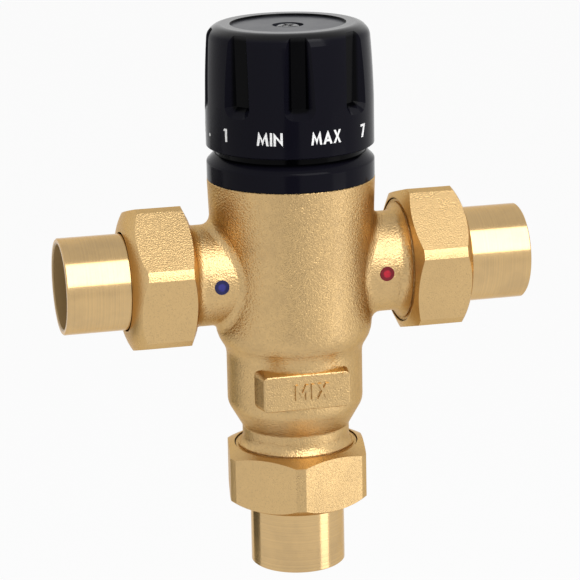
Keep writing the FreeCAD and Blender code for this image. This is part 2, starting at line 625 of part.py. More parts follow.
# --- Bonnet and spindle ---------------------------------------------------------------
def bonnet():
    plug_r = UPPER_CHAMBER_R - RUN
    chamber_top = SPINDLE_SHOULDER_Z[1] + RUN
    shape = turned(
        (MIXING_BORE_R, SEAT_Z), (BONNET_SKIRT_R, SEAT_Z), (BONNET_SKIRT_R, BONNET_PLUG_BOTTOM),
        (plug_r, BONNET_PLUG_BOTTOM),
        *ring_groove(plug_r, UPPER_CHAMBER_R, BONNET_RING_SECTION, BONNET_RING_Z),
        (plug_r, CAP_THREAD_BOTTOM),
        (CAP_BORE_R - THREAD_GAP, CAP_THREAD_BOTTOM), (CAP_BORE_R - THREAD_GAP, BARREL_TOP_Z),
        (BONNET_TOWER_R, BARREL_TOP_Z), (BONNET_TOWER_R, BONNET_TOWER_TOP),
        (BONNET_NECK_R, BONNET_TOWER_TOP), (BONNET_NECK_R, BONNET_NECK_TOP),
        (SPINDLE_R + RUN, BONNET_NECK_TOP), (SPINDLE_R + RUN, chamber_top),
        (CARRIER_BORE_R, chamber_top), (CARRIER_BORE_R, BONNET_SKIRT_BORE_TOP),
        (MIXING_BORE_R, BONNET_SKIRT_BORE_TOP))
    flats = hexagon(BONNET_FLATS, BARREL_TOP_Z, BONNET_HEX_TOP, 30)
    shape = shape.fuse(flats.cut(rod(BONNET_TOWER_R - ROOT, BARREL_TOP_Z, BONNET_HEX_TOP)))
    reach, width = CARRIER_LUG_R + LOOSE, CARRIER_LUG_WIDTH + 2 * RUN
    slots = Part.makeBox(2 * reach, width, LUG_SLOT_TOP - BONNET_SKIRT_BORE_TOP,
                         Vector(-reach, -width / 2, BONNET_SKIRT_BORE_TOP))
    return shape.cut(slots).removeSplitter()


def spindle():
    low, high = SPINDLE_SHOULDER_Z
    moves = [(SPINDLE_R, high)]
    for z in SPINDLE_RINGS_Z:
        moves += ring_groove(SPINDLE_R, SPINDLE_R + RUN, SPINDLE_RING_SECTION, z)
    clip_top = SPINDLE_CLIP_BOTTOM + CLIP_THICK
    splines = HUB_BOTTOM - LEAD_IN
    moves += [(SPINDLE_R, SPINDLE_CLIP_BOTTOM), (SPINDLE_CLIP_GROOVE_R, SPINDLE_CLIP_BOTTOM),
              (SPINDLE_CLIP_GROOVE_R, clip_top), (SPINDLE_R, clip_top), (SPINDLE_R, splines)]
    shape = turned(
        (0, SPINDLE_STUB_BOTTOM), (LEAD_THREAD_R, SPINDLE_STUB_BOTTOM), (LEAD_THREAD_R, low),
        (SPINDLE_SHOULDER_R, low), (SPINDLE_SHOULDER_R, high), *moves, (0, splines))
    shape = shape.fuse(spline_prism(SPLINE_R, SPLINE_DEPTH, splines, SPINDLE_TOP))
    return shape.cut(rod(TAP_R, SPINDLE_TOP - TAP_DEPTH, SPINDLE_TOP))


def spindle_rings():
    rings = [o_ring(SPINDLE_R + RUN, SPINDLE_RING_SECTION, z) for z in SPINDLE_RINGS_Z]
    return Part.makeCompound(rings)


# --- Collar and knob ------------------------------------------------------------------
def collar():
    hex_r = BONNET_FLATS / 2 / math.cos(math.radians(30)) + LOOSE
    floor_top = BONNET_HEX_TOP + COLLAR_FLOOR
    shape = turned(
        (hex_r, BARREL_TOP_Z), (COLLAR_R, BARREL_TOP_Z), (COLLAR_R, COLLAR_WALL_TOP),
        (COLLAR_BEVEL_R, COLLAR_TOP), (COLLAR_RIM_R, COLLAR_TOP), (COLLAR_RIM_R, COLLAR_RIM_TOP),
        (COLLAR_RIM_INNER_R, COLLAR_RIM_TOP), (COLLAR_RIM_INNER_R, floor_top),
        (BONNET_TOWER_R + RUN, floor_top), (BONNET_TOWER_R + RUN, BONNET_HEX_TOP),
        (hex_r, BONNET_HEX_TOP))
    brow = [e for e in shape.Edges if e.Closed and abs(e.CenterOfMass.z - COLLAR_WALL_TOP) < RUN]
    shape = shape.makeFillet(COLLAR_EDGE_R, brow)
    back = 90 + FLUTE_AZIMUTH
    stop = sector(COLLAR_RIM_INNER_R, COLLAR_RIM_R, COLLAR_RIM_TOP - COLLAR_FLOOR,
                  KNOB_SKIRT_TOP - LOOSE, STOP_ARC, back)
    depth = COLLAR_R - COLLAR_BEVEL_R
    index = Part.makeBox(depth, COLLAR_INDEX_WIDTH, COLLAR_TOP - COLLAR_WALL_TOP,
                         Vector(COLLAR_BEVEL_R - EDGE_BREAK, -COLLAR_INDEX_WIDTH / 2,
                                COLLAR_WALL_TOP))
    return shape.fuse(stop).fuse(spun(index, back)).removeSplitter()


def flute_tool():
    """Draft-sided groove that runs out through the knob's shoulder."""
    depth = KNOB_R - FLUTE_FLOOR_R + TOOL_OVER
    high = KNOB_TOP_Z + TOOL_OVER
    floor = rounded_wire(FLUTE_FLOOR_HALF, FLUTE_LEDGE_Z, high, EDGE_BREAK,
                         lambda u, v: Vector(FLUTE_FLOOR_R, u, v))
    mouth = rounded_wire(FLUTE_FLOOR_HALF + depth, FLUTE_LEDGE_Z - depth, high,
                         EDGE_BREAK + depth, lambda u, v: Vector(FLUTE_FLOOR_R + depth, u, v))
    tool = Part.makeLoft([floor, mouth], True, True)
    tool.rotate(Vector(FLUTE_FLOOR_R, 0, FLUTE_LEDGE_Z), Vector(0, 1, 0), FLUTE_DRAFT)
    return tool


def knob():
    front = 270 + FLUTE_AZIMUTH
    bend = (KNOB_CROWN_R + QUARTER * (KNOB_SHOULDER_R - KNOB_CROWN_R),
            KNOB_SHOULDER_Z + QUARTER * (KNOB_TOP_Z - KNOB_SHOULDER_Z))
    draw, rise = KNOB_WALL_BOW
    bow = (KNOB_R - draw * (KNOB_R - KNOB_SHOULDER_R),
           KNOB_WALL_Z + rise * (KNOB_SHOULDER_Z - KNOB_WALL_Z))
    roof = DISC_SEAT - KNOB_TOP_WALL
    cone = KNOB_BORE_R - KNOB_CAVITY_R
    shape = turned(
        (KNOB_BORE_R, KNOB_RIM_Z), (KNOB_R - EDGE_BREAK, KNOB_RIM_Z),
        (KNOB_R, KNOB_RIM_Z + EDGE_BREAK), (KNOB_R, KNOB_WALL_Z),
        (bow, (KNOB_SHOULDER_R, KNOB_SHOULDER_Z)), (bend, (KNOB_CROWN_R, KNOB_TOP_Z)),
        (DISC_R + RUN, KNOB_TOP_Z), (DISC_R + RUN, DISC_SEAT), (SCREW_WELL_R, DISC_SEAT),
        (SCREW_WELL_R, SCREW_SEAT_Z), (SCREW_SHANK_R + LOOSE, SCREW_SEAT_Z),
        (SCREW_SHANK_R + LOOSE, SPINDLE_TOP + LOOSE), (SPLINE_R, SPINDLE_TOP + LOOSE),
        (SPLINE_R, HUB_BOTTOM), (HUB_R, HUB_BOTTOM), (HUB_R, roof), (KNOB_CAVITY_R, roof),
        (KNOB_CAVITY_R, KNOB_SKIRT_TOP + cone), (KNOB_BORE_R, KNOB_SKIRT_TOP))
    teeth = tube(SPLINE_R - SPLINE_DEPTH - LOOSE, SPLINE_R + LOOSE, HUB_BOTTOM, SPINDLE_TOP)
    grooves = spline_prism(SPLINE_R + RUN, SPLINE_DEPTH, HUB_BOTTOM, SPINDLE_TOP)
    shape = shape.fuse(teeth.cut(grooves))
    for i in range(RIB_COUNT):
        rib = Part.makeBox(KNOB_CAVITY_R - HUB_R + 2 * ROOT, RIB_THICK, roof - RIB_BOTTOM,
                           Vector(HUB_R - ROOT, -RIB_THICK / 2, RIB_BOTTOM))
        shape = shape.fuse(spun(rib, front + (i + 0.5) * 360 / RIB_COUNT))
    stop = sector(COLLAR_RIM_INNER_R, KNOB_BORE_R + ROOT, COLLAR_RIM_TOP + LOOSE,
                  KNOB_SKIRT_TOP + cone / 2, STOP_ARC, front)
    shape = shape.fuse(stop)
    tool = flute_tool()
    for i in range(FLUTE_COUNT):
        shape = shape.cut(spun(tool, front + i * 360 / FLUTE_COUNT))
    return shape.removeSplitter()


def knob_disc():
    return tube(SCREW_WELL_R, DISC_R, DISC_SEAT, DISC_TOP)


def knob_screw():
    bottom = SCREW_SEAT_Z - SCREW_LENGTH
    top = SCREW_SEAT_Z + SCREW_HEAD
    brow = SCREW_HEAD - SCREW_HEAD_EDGE
    bend = (SCREW_HEAD_R - (1 - QUARTER) * brow, top - (1 - QUARTER) * brow)
    shape = turned(
        (0, bottom), (SCREW_SHANK_R - EDGE_BREAK, bottom), (SCREW_SHANK_R, bottom + EDGE_BREAK),
        (SCREW_SHANK_R, SCREW_SEAT_Z), (SCREW_HEAD_R, SCREW_SEAT_Z), (SCREW_HEAD_R, top - brow),
        (bend, (SCREW_HEAD_R - brow, top)), (0, top))
    for angle in (0, 90):
        slot = Part.makeBox(2 * SCREW_RECESS_ARM, 2 * SCREW_RECESS_HALF, SCREW_RECESS_DEPTH,
                            Vector(-SCREW_RECESS_ARM, -SCREW_RECESS_HALF, top - SCREW_RECESS_DEPTH))
        shape = shape.cut(spun(slot, angle + SCREW_TURN))
    return shape


# --- Assembly ---------------------------------------------------------------------------
def build():
    pieces = {
        "valve_body": valve_body(),
        "cold_marker": marker(-1),
        "hot_marker": marker(1),
        "shutter": shutter(),
        "shutter_o_ring": o_ring(BRIDGE_R, SHUTTER_RING_SECTION, 0),
        "wax_element": element(),
        "element_nut": element_nut(),
        "element_pin": element_pin(),
        "return_spring": coil(RETAINER_TOP, -SHUTTER_WEB, RETURN_MEAN_R, RETURN_WIRE_R, RETURN_TURNS),
        "spring_retainer": retainer(),
        "carrier": carrier(),
        "carrier_clip": split_ring(CARRIER_CLIP_BORE_R, CARRIER_CLIP_GROOVE_R, CARRIER_BOTTOM),
        "overload_plunger": plunger(),
        "overload_spring": coil(PLUNGER_SEAT + PLUNGER_FLANGE, CARRIER_CHAMBER_TOP,
                                OVERLOAD_MEAN_R, OVERLOAD_WIRE_R, OVERLOAD_TURNS),
        "bonnet": bonnet(),
        "bonnet_o_ring": o_ring(UPPER_CHAMBER_R, BONNET_RING_SECTION, BONNET_RING_Z),
        "spindle": spindle(),
        "spindle_o_rings": spindle_rings(),
        "spindle_clip": split_ring(SPINDLE_CLIP_GROOVE_R, SPINDLE_CLIP_R, SPINDLE_CLIP_BOTTOM),
        "collar_ring": collar(),
        "knob": knob(),
        "knob_disc": knob_disc(),
        "knob_screw": knob_screw(),
    }
    for port in PORTS:
        seat = Placement(port.spin.multVec(Vector(0, 0, port.reach)), port.spin)
        for name, shape in (("union_nut", union_nut(port.corner)), ("tailpiece", tailpiece()),
                            ("gasket", gasket())):
            shape.Placement = seat
            pieces[port.name + "_" + name] = shape
    return pieces


def main():
    os.makedirs("parts", exist_ok=True)
    for name, shape in build().items():
        shape.exportStep("parts/" + name + ".step")
        print(name, len(shape.Solids), round(shape.Volume, 1), shape.isValid())


main()
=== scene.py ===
"""Finishes, dial lettering, cast word, springs and studio for a thermostatic mixing valve."""
import math

import bmesh
import bpy
import numpy as np
from bpy.props import FloatProperty, FloatVectorProperty, PointerProperty
from bpy.types import Operator, Panel, PropertyGroup
from mathutils import Matrix, Vector


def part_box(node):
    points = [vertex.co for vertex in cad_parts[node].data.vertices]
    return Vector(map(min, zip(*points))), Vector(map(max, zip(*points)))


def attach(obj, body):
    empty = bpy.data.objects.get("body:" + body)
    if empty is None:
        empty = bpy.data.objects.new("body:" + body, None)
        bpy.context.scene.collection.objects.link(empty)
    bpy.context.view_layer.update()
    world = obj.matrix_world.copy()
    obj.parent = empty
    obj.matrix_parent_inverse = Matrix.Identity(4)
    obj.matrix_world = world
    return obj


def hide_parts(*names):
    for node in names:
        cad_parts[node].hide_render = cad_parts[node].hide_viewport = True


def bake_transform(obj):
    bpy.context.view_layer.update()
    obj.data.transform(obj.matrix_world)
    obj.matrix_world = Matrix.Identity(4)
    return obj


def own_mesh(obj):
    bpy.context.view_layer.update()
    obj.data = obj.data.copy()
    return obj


bl_info = {
    "name": "Mixing valve finishes",
    "version": (1, 0, 0),
    "blender": (4, 5, 0),
    "location": "View3D > Sidebar > Mixing valve",
    "description": "Finishes, dial lettering and studio for a mixing valve",
    "category": "Object",
}

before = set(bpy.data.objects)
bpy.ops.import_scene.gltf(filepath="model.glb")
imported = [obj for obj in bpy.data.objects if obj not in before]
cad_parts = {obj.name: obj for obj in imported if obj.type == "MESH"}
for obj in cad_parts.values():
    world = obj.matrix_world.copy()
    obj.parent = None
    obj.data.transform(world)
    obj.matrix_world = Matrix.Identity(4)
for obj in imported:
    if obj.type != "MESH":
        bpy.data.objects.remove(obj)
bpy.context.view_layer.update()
MM = 0.001

# --- Fixed values; azimuths are degrees round the valve, to the right of its front ------
EDGE_TINT = (0.80, 0.62, 0.38)       # brass seen at a grazing angle
BORE_TINT = (0.40, 0.27, 0.12)       # oxidised brass inside a tail
BORE_R = 11.6 * MM                   # a tail is dull nearer to its axis than this
BORE_FADE = 0.1 * MM
TARNISH = 14 * MM                    # width of a tarnished patch on cast brass
STAIN = 9 * MM                       # width of a stain on turned brass
RING, RING_DEPTH = 0.5 * MM, 0.008 * MM         # turning marks
WAVE = 4 * MM                        # width of the unevenness of turned brass
SPRING_TINT = (0.62, 0.62, 0.63)     # bright steel of the springs and clips
SCUFF, SCUFF_DEPTH = 0.2 * MM, 0.004 * MM       # marks on steel
RIPPLE, RIPPLE_DEPTH = 1.5 * MM, 0.01 * MM      # unevenness of enamel
GRAIN_DEPTH = 0.02 * MM              # relief of rubber, fibre and ink
PEEL, HANDLING = 1.1 * MM, 11 * MM   # widths of plastic's unevenness and of handled patches
POLISH_FROM = 63.5 * MM              # height where the knob's polished top begins
POLISH_FULL = 65 * MM                # height from which it is fully polished
GROOVE_SHADE_DEPTH = 1.2 * MM              # plastic deeper than this in the grooves is painted darker, as shade
GROOVE_SHADE_FADE = 0.9 * MM               # width over which the painted groove shade fades

WORD_MARKS = (("MIN", -27.8, 0.96), ("MAX", 11.0, 0.87))   # word, azimuth, widening
FIRST_NUMBER = -62.75                # azimuth of the number 1
NUMBER_STEP = 42.2                   # degrees from one number to the next
NUMBER_WIDEN = 1.25
NUMBERS = 7
SCALE_DOTS = 5                       # dots half-way between numbers, from the first pair on
SCALE_DOT_R, SCALE_DOT_POINTS = 0.45 * MM, 24
SCALE_DOT_RISE = 0.55 * MM           # a dot's middle above the letters' foot
MARK_STROKE, MARK_GAP = 0.18, 0.11   # shares of the letter height
INK_THICK = 0.03 * MM
INK_STEP = 0.002 * MM                # overlapping strokes differ in thickness by this
INK_CELL = 0.5 * MM                  # widest flat facet of ink on the round knob

PAD_FACE = -18.75 * MM               # the outlet pad's face along Y
PAD_WORD_FOOT = -30.95 * MM          # height of the cast word's foot
PAD_STROKE, PAD_GAP = 0.19, 0.19     # shares of the word height
PAD_DOT_X, PAD_DOT_Y, PAD_DOT_R = 8.4 * MM, 6.3 * MM, 0.35 * MM   # from the word's foot
PAD_DOT_POINTS = 20
PAD_DOT_RISE = 0.6                   # share of the word's rise
PAD_CELL = 5 * MM                    # widest facet; the pad is flat
LETTER_EDGE = 0.14 * MM              # rounding of the cast letters' edges
WELD = 1e-7                          # points nearer than this, in metres, are one
ON_CUT = 1e-8                        # a point this near a cut lies on it

CARRIER_TRAVEL = 0.9 * MM            # room that the return spring leaves for the carrier
RETURN_WIRE, RETURN_TURNS = 0.7 * MM, 6.5       # wire radius and turns
OVERLOAD_WIRE, OVERLOAD_TURNS = 0.65 * MM, 3.5
COIL_SIDES, COIL_STEPS = 12, 36      # points round the wire and along one turn

FLOOR_HALF = 8.0                     # metres from the valve to the floor's edge
FLOOR_GREY = 0.9
FLOOR_GLOW = 0.85                    # share of even glow in the floor that the camera sees
OVERHEAD = 0.8                       # brightness straight above, where it is 1 all round
DIM_FROM, DIM_TO = 0.35, 0.95        # sines of the elevations between which it falls
LAMPS = (                            # name, azimuth, elevation, distance, size, strength
    ("front softbox", 20, 38.5, 1.3, (0.9, 1.3), 3.4),
    ("side panel", 55, -18.8, 0.9, (0.33, 0.27), 1.8),
)
CARDS = (                            # name, azimuth, distance, width, foot, top, grey
    ("left_flag", -137, 1.0, 0.62, -0.47, -0.17, 0.12),
    ("camera_flag", -12, 0.8, 0.28, -0.2, 0.08, 0.02),
)
CAMERA_PLACE = (-0.16315, -0.6512, 0.17265)
CAMERA_TURN = (-13.996, 14.908, -1.1415)        # yaw, downward pitch and roll in degrees
SENSOR_WIDTH = 36                    # millimetres
CAMERA_REACH = 50                    # metres


# --- Sizes and colours that a user may change -------------------------------------------
class BrassLook(PropertyGroup):
    colour: FloatVectorProperty(
        name="Brass", description="Colour of the bare brass", subtype="COLOR",
        default=(0.635, 0.428, 0.192), min=0, max=1)
    # colour of the stains, and on the cast brass also of the painted shade in the pebbles'
    # hollows
    stain_and_shade_colour: FloatVectorProperty(
        name="Deep brass", description="Colour in the hollows and patches of the brass",
        subtype="COLOR", default=(0.50, 0.34, 0.16), min=0, max=1)
    cast_grain: FloatProperty(
        name="Cast grain", description="Width of one pebble on the casting",
        default=0.48 * MM, min=0.1 * MM, unit="LENGTH")
    cast_depth: FloatProperty(
        name="Cast depth", description="Depth between the pebbles on the casting",
        default=0.17 * MM, min=0, unit="LENGTH")
    nut_grain: FloatProperty(
        name="Nut grain", description="Width of one pebble on the union nuts",
        default=0.36 * MM, min=0.1 * MM, unit="LENGTH")
    nut_depth: FloatProperty(
        name="Nut depth", description="Depth between the pebbles on the union nuts",
        default=0.08 * MM, min=0, unit="LENGTH")


class DialLook(PropertyGroup):
    plastic: FloatVectorProperty(
        name="Plastic", description="Colour of the knob and the collar", subtype="COLOR",
        default=(0.0042, 0.0040, 0.0072), min=0, max=1)
    disc: FloatVectorProperty(
        name="Disc", description="Colour of the disc in the knob's top", subtype="COLOR",
        default=(0.02, 0.021, 0.027), min=0, max=1)
    ink: FloatVectorProperty(
        name="Ink", description="Colour of the printed marks", subtype="COLOR",
        default=(0.86, 0.86, 0.86), min=0, max=1)
    letter_height: FloatProperty(
        name="Letter height", description="Height of the letters round the knob",
        default=3.4 * MM, min=1 * MM, unit="LENGTH")
    letter_base: FloatProperty(
        name="Letter base", description="Height of the letters' foot above the inlets' axis",
        default=37.5 * MM, unit="LENGTH")


class MarkLook(PropertyGroup):
    cold: FloatVectorProperty(
        name="Cold dot", description="Enamel of the cold dot", subtype="COLOR",
        default=(0.03, 0.03, 0.20), min=0, max=1)
    hot: FloatVectorProperty(
        name="Hot dot", description="Enamel of the hot dot", subtype="COLOR",
        default=(0.44, 0.012, 0.03), min=0, max=1)
    word_height: FloatProperty(
        name="Word height", description="Height of the cast word on the outlet pad",
        default=4.2 * MM, min=1 * MM, unit="LENGTH")
    word_rise: FloatProperty(
        name="Word rise", description="How far the cast word stands out of its pad",
        default=0.6 * MM, min=0.05 * MM, unit="LENGTH")


class StageSettings(PropertyGroup):
    floor_drop: FloatProperty(
        name="Floor drop", description="Depth of the floor under the lower tail",
        default=0.42, min=0, unit="LENGTH")
    room: FloatProperty(
        name="Room light", description="Strength of the even light from all round",
        default=0.8, min=0)
    lens: FloatProperty(
        name="Lens", description="Focal length of the camera in millimetres",
        default=162.0, min=10)


# --- Node helpers -----------------------------------------------------------------------
class Nodes:
    """Writes a material's or a world's nodes with few words."""

    def __init__(self, owner):
        owner.use_nodes = True
        self.tree = owner.node_tree
        self.tree.nodes.clear()

    def add(self, kind, **inputs):
        """Node of a kind; settings that are node properties are set, the rest are sockets."""
        node = self.tree.nodes.new(kind)
        for key, value in inputs.items():
            if hasattr(node, key):
                setattr(node, key, value)
                continue
            socket = node.inputs[int(key[1:]) if key[0] == "_" else key.replace("_", " ")]
            if isinstance(value, bpy.types.NodeSocket):
                self.tree.links.new(value, socket)
            elif hasattr(socket.default_value, "__len__") and len(socket.default_value) == 4:
                socket.default_value = (*value[:3], 1.0)
            else:
                socket.default_value = value
        return node

    def math(self, operation, a, b, c=0.5):
        """Result of a sum on two or three values."""
        return self.add("ShaderNodeMath", operation=operation, _0=a, _1=b, _2=c).outputs[0]

    def ramp(self, value, low, high, to_low=0.0, to_high=1.0):
        """Value carried smoothly from the range low..high to another range."""
        node = self.add("ShaderNodeMapRange", interpolation_type="SMOOTHSTEP", Value=value,
                        From_Min=low, From_Max=high, To_Min=to_low, To_Max=to_high)
        return node.outputs["Result"]

    def noise(self, place, size, detail=2.0, roughness=0.5):
        """Noise whose features are about size metres wide."""
        node = self.add("ShaderNodeTexNoise", Vector=place, Scale=1.0 / size, Detail=detail,
                        Roughness=roughness)
        return node.outputs["Fac"]

    def blend(self, factor, first, second):
        """Colour that goes from the first at factor 0 to the second at 1."""
        node = self.add("ShaderNodeMix", data_type="RGBA", Factor=factor)
        for socket, value in ((node.inputs[6], first), (node.inputs[7], second)):
            if isinstance(value, bpy.types.NodeSocket):
                self.tree.links.new(value, socket)
            else:
                socket.default_value = (*value[:3], 1.0)
        return node.outputs[2]

    def place(self):
        """Place on the object in metres."""
        return self.add("ShaderNodeTexCoord").outputs["Object"]

    def bump(self, height, distance):
        """Normal of a relief whose height 0 to 1 is the distance in metres."""
        node = self.add("ShaderNodeBump", Height=height, Distance=distance, Strength=1.0)
        return node.outputs["Normal"]

    def length(self, **parts):
        """Length of the vector with the given X, Y and Z."""
        vector = self.add("ShaderNodeCombineXYZ", **parts).outputs[0]
        node = self.add("ShaderNodeVectorMath", operation="LENGTH", _0=vector)
        return node.outputs["Value"]

    def seen(self):
        """1 for what the camera sees, straight or in a reflection, and 0 for light."""
        path = self.add("ShaderNodeLightPath").outputs
        rays = self.math("ADD", path["Is Camera Ray"], path["Is Glossy Ray"])
        rays = self.math("ADD", rays, path["Is Transmission Ray"])
        return self.math("MINIMUM", rays, 1.0)

    def surface(self, **inputs):
        """Principled surface of a material."""
        shader = self.add("ShaderNodeBsdfPrincipled", **inputs).outputs[0]
        self.add("ShaderNodeOutputMaterial", Surface=shader)


def linked(name, data):
    """New object in the scene, at the origin until it is moved."""
    obj = bpy.data.objects.new(name, data)
    bpy.context.scene.collection.objects.link(obj)
    return obj


def give(nodes, material):
    """Put one material on CAD nodes or on new pieces."""
    for obj in nodes:
        obj.data.materials.clear()
        obj.data.materials.append(material)


def cad(*names):
    """CAD nodes by name."""
    return [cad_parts[name] for name in names]


# --- Finishes ---------------------------------------------------------------------------
def cast_brass(name, look, grain, depth, roughness, staining=1.0):
    """Blasted brass: pebbles of the grain's width over slow unevenness, with painted shade in
    the hollows between pebbles and cloudy patches, and a duller sheen in the patches."""
    material = bpy.data.materials.new(name)
    n = Nodes(material)
    place = n.place()
    pebbles = n.noise(place, grain, detail=1.5, roughness=0.45)
    fine = n.noise(place, grain * 0.35, detail=1.0)
    uneven = n.noise(place, grain * 9, detail=2.0)
    mottle = n.noise(place, grain * 2.5, detail=3.0, roughness=0.6)
    patches = n.noise(place, TARNISH, detail=4.0, roughness=0.6)
    relief = n.math("MULTIPLY_ADD", fine, 0.2, n.math("MULTIPLY_ADD", uneven, 0.3, pebbles))
    # painted shade: the hollows between the pebbles are coloured darker, as if in shadow
    hollow_shade = n.ramp(pebbles, 0.30, 0.48, 1.0, 0.0)
    stain = n.math("MULTIPLY", n.ramp(patches, 0.42, 0.66), 0.55)
    stain = n.math("MULTIPLY_ADD", n.ramp(mottle, 0.3, 0.7), 0.5 * staining,
                   n.math("MULTIPLY", stain, 0.7 * staining))
    # darker where stained, and where the painted hollow shade falls
    stain_and_hollow_shade = n.math("MAXIMUM", stain, n.math("MULTIPLY", hollow_shade, 0.9))
    n.surface(
        Base_Color=n.blend(stain_and_hollow_shade, look.colour, look.stain_and_shade_colour), Metallic=1.0,
        Roughness=n.ramp(patches, 0.35, 0.7, roughness, roughness + 0.07),
        Specular_Tint=EDGE_TINT, Coat_Weight=0.2, Coat_Roughness=0.25,
        Normal=n.bump(relief, depth))
    return material


def turned_brass(name, look, axis, roughness, bore=0.0):
    """Lathe-turned brass: fine rings along one axis, with faint stains and handling marks,
    and a dull oxidised finish nearer to the axis than the bore's radius."""
    material = bpy.data.materials.new(name)
    n = Nodes(material)
    place = n.place()
    parts = n.add("ShaderNodeSeparateXYZ", Vector=place).outputs
    out = n.length(X=parts["Z" if axis == "X" else "X"], Y=parts["Y"])
    bright = n.ramp(out, bore, bore + BORE_FADE)
    line = n.add("ShaderNodeCombineXYZ", X=parts[axis]).outputs[0]
    rings = n.noise(line, RING, detail=3.0, roughness=0.7)
    patches = n.noise(place, STAIN, detail=3.0, roughness=0.6)
    relief = n.math("MULTIPLY_ADD", n.noise(place, WAVE, detail=1.0), 2.0, rings)
    stain = n.math("MULTIPLY_ADD", n.ramp(rings, 0.35, 0.65), 0.45,
                   n.math("MULTIPLY", n.ramp(patches, 0.40, 0.70), 0.5))
    skin = n.blend(stain, look.colour, look.stain_and_shade_colour)
    sheen = n.ramp(rings, 0.3, 0.7, roughness - 0.02, roughness + 0.04)
    n.surface(
        Base_Color=n.blend(bright, BORE_TINT, skin),
        Metallic=n.math("MULTIPLY_ADD", bright, 0.7, 0.3),
        Roughness=n.math("ADD", sheen, n.math("MULTIPLY_ADD", bright, -0.4, 0.4)),
        Specular_Tint=EDGE_TINT, Coat_Weight=0.5, Coat_Roughness=0.06,
        Normal=n.bump(relief, RING_DEPTH))
    return material


def moulded_plastic(name, colour, roughness, orange_peel, polish, unshaded_radius=0.0):
    """Glossy moulded plastic: very slight unevenness and a sheen that varies a little, with
    a more polished top, and painted shade that darkens it nearer the axis than the unshaded
    radius."""
    material = bpy.data.materials.new(name)
    n = Nodes(material)
    place = n.place()
    peel = n.noise(place, PEEL, detail=1.0)
    handled = n.noise(place, HANDLING, detail=4.0, roughness=0.6)
    parts = n.add("ShaderNodeSeparateXYZ", Vector=place).outputs
    # painted shade: the colour is darker nearer to the axis than the unshaded radius, as in the
    # knob's grooves
    pale = n.ramp(n.length(X=parts["X"], Y=parts["Y"]), unshaded_radius - GROOVE_SHADE_FADE, unshaded_radius)
    n.surface(
        Base_Color=n.blend(pale, tuple(0.12 * c for c in colour), colour),
        Specular_IOR_Level=0.055, Coat_Roughness=0.2,
        Coat_Weight=n.ramp(parts["Z"], POLISH_FROM, POLISH_FULL, 0.0, polish),
        Roughness=n.ramp(handled, 0.3, 0.75, roughness - 0.02, roughness + 0.05),
        Normal=n.bump(peel, orange_peel))
    return material


def enamel(name, colour, node):
    """Thick glossy paint in a round well: a little uneven, sunk towards its middle and
    darker towards its edge."""
    material = bpy.data.materials.new(name)
    n = Nodes(material)
    place = n.place()
    low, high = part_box(node)
    middle = (low + high) / 2
    radius = (high.x - low.x) / 2
    deep = tuple(0.22 * c for c in colour)
    centred = n.add("ShaderNodeMapping", Vector=place, Location=-middle).outputs[0]
    parts = n.add("ShaderNodeSeparateXYZ", Vector=centred).outputs
    out = n.length(X=parts["X"], Z=parts["Z"])
    border = n.ramp(out, 0.35 * radius, 0.65 * radius)
    tint = n.noise(place, RIPPLE, detail=2.0)
    paint = n.blend(n.math("MULTIPLY", n.ramp(tint, 0.35, 0.7), 0.4), colour, deep)
    bowl = n.math("MULTIPLY_ADD", n.ramp(out, 0.3 * radius, radius), 12.0, tint)
    n.surface(Base_Color=n.blend(n.math("MULTIPLY", border, 0.85), paint, deep),
              Roughness=0.25, Specular_IOR_Level=0.3, Normal=n.bump(bowl, RIPPLE_DEPTH))
    return material


def steel(name, colour, roughness):
    """Steel with fine scuffs."""
    material = bpy.data.materials.new(name)
    n = Nodes(material)
    place = n.place()
    scuffs = n.noise(place, SCUFF, detail=3.0, roughness=0.7)
    n.surface(Base_Color=colour, Metallic=1.0,
              Roughness=n.ramp(scuffs, 0.3, 0.7, roughness - 0.05, roughness + 0.06),
              Normal=n.bump(scuffs, SCUFF_DEPTH))
    return material


def soft_material(name, colour, roughness, size):
    """Rubber, fibre, ink or matt plastic with an even grain of some size."""
    material = bpy.data.materials.new(name)
    n = Nodes(material)
    place = n.place()
    grain = n.noise(place, size, detail=3.0)
    deep = tuple(0.7 * c for c in colour)
    n.surface(Base_Color=n.blend(n.ramp(grain, 0.35, 0.65), colour, deep), Roughness=roughness,
              Normal=n.bump(grain, GRAIN_DEPTH))
    return material


# --- Letters ----------------------------------------------------------------------------
def arc(cx, cy, rx, ry, start, end, steps=14):
    """Points on an ellipse from one angle to another, in degrees."""
    t = np.radians(np.linspace(start, end, steps))
    return np.stack([cx + rx * np.cos(t), cy + ry * np.sin(t)], -1)


def stroke(points, width):
    """Outline of a line of even width: its points moved half the width to each side."""
    line = np.asarray(points, float)
    step = np.gradient(line, axis=0)
    side = np.stack([-step[:, 1], step[:, 0]], -1) / np.linalg.norm(step, axis=1)[:, None]
    return np.concatenate([line + side * width / 2, (line - side * width / 2)[::-1]])


